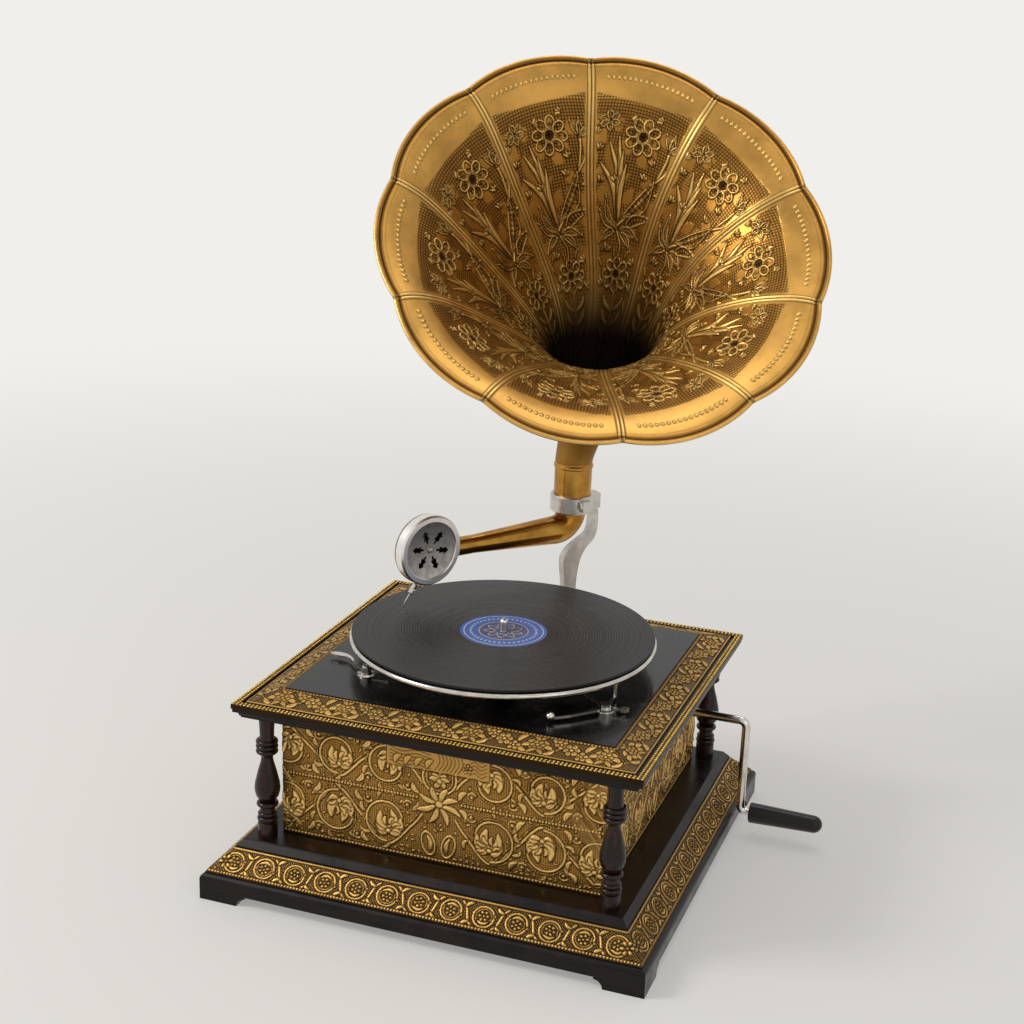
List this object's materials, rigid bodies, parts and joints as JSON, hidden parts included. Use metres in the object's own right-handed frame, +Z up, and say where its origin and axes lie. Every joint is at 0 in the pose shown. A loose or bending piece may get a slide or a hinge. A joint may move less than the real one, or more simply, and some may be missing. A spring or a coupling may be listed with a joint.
{
  "type": "gramophone",
  "caption": "Table gramophone with an embossed flower horn, swinging tone arm, spring motor, turned crank and spinning turntable on a wooden cabinet with brass panels.",
  "frame": {"origin": "centre of the base's footprint, on the table", "axes": "+Z up along the turntable's spindle, -Y the front, +X the side of the crank"},
  "size_m": [0.4492, 0.4149, 0.6525],
  "materials": {
    "black_wood": "gloss black-brown varnish",
    "board_black": "gloss black lacquer",
    "sheet_brass": "embossed, aged, with dark recesses",
    "horn_brass": "embossed and burnished antique brass",
    "arm_brass": "polished",
    "gear_brass": "machined",
    "nickel": "nickel plate",
    "steel": "machined",
    "spring_steel": "blued spring steel",
    "cast_silver": "silver finish on a casting",
    "grip_black": "black lacquer",
    "mat_felt": "felt",
    "record_black": "grooved shellac",
    "label_paper": "printed paper, stood in by a matt plastic",
    "rubber_black": "matt",
    "mica": "mica sheet"
  },
  "bodies": {
    "cabinet": {"bracket_feet": "black_wood", "base_slab": "black_wood", "base_slope_rails": "black_wood", "base_brass_strips": "sheet_brass", "step_moulding": "black_wood", "front_wall": "black_wood", "back_wall": "black_wood", "side_walls": "black_wood", "front_brass": "sheet_brass", "back_brass": "sheet_brass", "side_brass": "sheet_brass", "corner_columns": "black_wood", "top_frame": "black_wood", "motor_board": "board_black", "top_brass_border": "sheet_brass", "crank_escutcheon": "nickel", "motor_top_plate": "steel", "motor_bottom_plate": "steel", "motor_pillars": "steel", "motor_bolts": "nickel", "motor_bushings": "rubber_black", "governor_bearings": "steel", "brake_post": "nickel", "speed_post": "nickel", "support_arm": "cast_silver", "support_screws": "steel", "horn_collar": "cast_silver", "collar_screw": "steel"},
    "turntable": {"turntable_spindle": "steel", "governor_wheel": "gear_brass", "platter": "nickel", "platter_mat": "mat_felt", "record": "record_black", "record_label": "label_paper"},
    "spring_barrel": {"spring_barrel": "gear_brass", "barrel_cover": "steel", "mainspring": "spring_steel"},
    "governor": {"governor_shaft": "steel", "governor_weights": "gear_brass"},
    "crank": {"crank_rod": "nickel", "winding_shaft": "steel"},
    "crank_grip": {"crank_grip": "grip_black"},
    "winding_arbor": {"winding_arbor": "steel", "winding_wheel": "gear_brass"},
    "brake": {"brake_lever": "nickel"},
    "speed_regulator": {"speed_lever": "nickel"},
    "tone_arm": {"tone_arm": "arm_brass"},
    "soundbox": {"gooseneck": "arm_brass", "soundbox_back": "nickel", "soundbox_gasket": "rubber_black", "diaphragm": "mica", "soundbox_ring": "nickel", "soundbox_grille": "nickel", "stylus_bar": "nickel", "needle": "steel"},
    "needle_screw": {"needle_screw": "nickel"},
    "horn": {"horn_neck": "horn_brass", "horn_throat": "horn_brass", "horn_petals": "horn_brass", "horn_rim_wire": "horn_brass"}
  },
  "joints": [
    {"name": "turntable_spin", "type": "hinge", "parent": "cabinet", "child": "turntable", "pos_m": [0, 0, 0.19], "axis": [0, 0, 1], "continuous": true},
    {"name": "barrel_turn", "type": "hinge", "parent": "cabinet", "child": "spring_barrel", "pos_m": [-0.01952, 0.062, 0.13], "axis": [0, 0, 1], "continuous": true},
    {"name": "governor_spin", "type": "hinge", "parent": "cabinet", "child": "governor", "pos_m": [-0.02, -0.0245, 0.11], "axis": [1, 0, 0], "continuous": true},
    {"name": "crank_turn", "type": "hinge", "parent": "cabinet", "child": "crank", "pos_m": [0.05, 0.1, 0.107], "axis": [1, 0, 0], "continuous": true},
    {"name": "winding_turn", "type": "hinge", "parent": "cabinet", "child": "winding_arbor", "pos_m": [-0.01952, 0.062, 0.107], "axis": [0, 0, 1], "continuous": true},
    {"name": "grip_spin", "type": "hinge", "parent": "crank", "child": "crank_grip", "pos_m": [0.22, 0.1, 0.0215], "axis": [1, 0, 0], "continuous": true},
    {"name": "brake_swing", "type": "hinge", "parent": "cabinet", "child": "brake", "pos_m": [0.1116, -0.0706, 0.1735], "axis": [0, 0, 1], "range_deg": [-2, 16]},
    {"name": "speed_swing", "type": "hinge", "parent": "cabinet", "child": "speed_regulator", "pos_m": [-0.0908, -0.0762, 0.165], "axis": [0, 0, 1], "range_deg": [0, 14]},
    {"name": "arm_swing", "type": "hinge", "parent": "cabinet", "child": "tone_arm", "pos_m": [0, 0.174, 0.255], "axis": [0, 0, 1], "range_deg": [-40, 17]},
    {"name": "soundbox_turn", "type": "hinge", "parent": "tone_arm", "child": "soundbox", "pos_m": [-0.0656, 0.08695, 0.2354], "axis": [-0.6018, -0.7986, 0], "range_deg": [0, 110]},
    {"name": "needle_screw_turn", "type": "hinge", "parent": "soundbox", "child": "needle_screw", "pos_m": [-0.09326, 0.02324, 0.2091], "axis": [0.6448, -0.7643, 0], "range_deg": [0, 360]},
    {"name": "horn_turn", "type": "hinge", "parent": "cabinet", "child": "horn", "pos_m": [0, 0.174, 0.262], "axis": [0, 0, 1], "continuous": true}
  ],
  "couplings": [
    {"joint": "barrel_turn", "follows": "turntable_spin", "ratio": -0.18182},
    {"joint": "governor_spin", "follows": "turntable_spin", "ratio": -12},
    {"joint": "winding_turn", "follows": "crank_turn", "ratio": 0.1}
  ]
}
